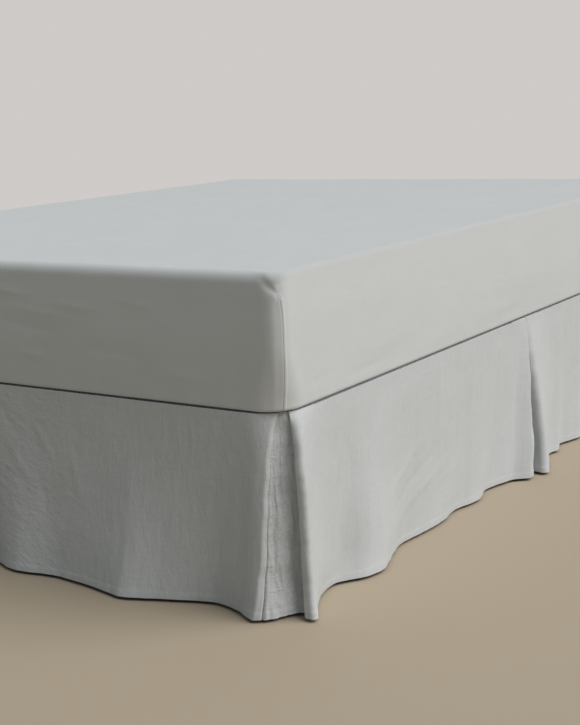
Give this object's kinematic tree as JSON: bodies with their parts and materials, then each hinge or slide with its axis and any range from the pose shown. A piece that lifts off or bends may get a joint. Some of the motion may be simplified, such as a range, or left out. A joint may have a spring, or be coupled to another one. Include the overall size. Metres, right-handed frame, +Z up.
{
  "type": "bed skirt on a bed",
  "caption": "Tailored bed skirt with inverted pleats at the foot corners and mid sides, hanging from its deck between a bed base and a sheeted mattress.",
  "frame": {"origin": "on the floor, under the middle of the box round the whole bed, its flared hem included", "axes": "+Y along the bed to the head end, +X to the side seen at the right of the picture, +Z up"},
  "size_m": [1.6196, 2.0918, 0.6042],
  "materials": {
    "linen": "matt pale grey linen",
    "sheeting": "smooth pale grey cotton",
    "ticking": "plain woven cover",
    "beech": "satin"
  },
  "bodies": {
    "root": {"skirt_deck": "linen", "front_foot_near": "linen", "front_foot_far": "linen", "front_side_near_foot": "linen", "front_side_near_head": "linen", "front_side_far_foot": "linen", "front_side_far_head": "linen", "backing_corner_near": "linen", "backing_corner_far": "linen", "backing_middle_foot": "linen", "backing_middle_near": "linen", "backing_middle_far": "linen", "mattress": "sheeting", "base": "ticking", "leg_left_foot": "beech", "leg_left_middle": "beech", "leg_left_head": "beech", "leg_right_foot": "beech", "leg_right_middle": "beech", "leg_right_head": "beech"}
  },
  "joints": []
}
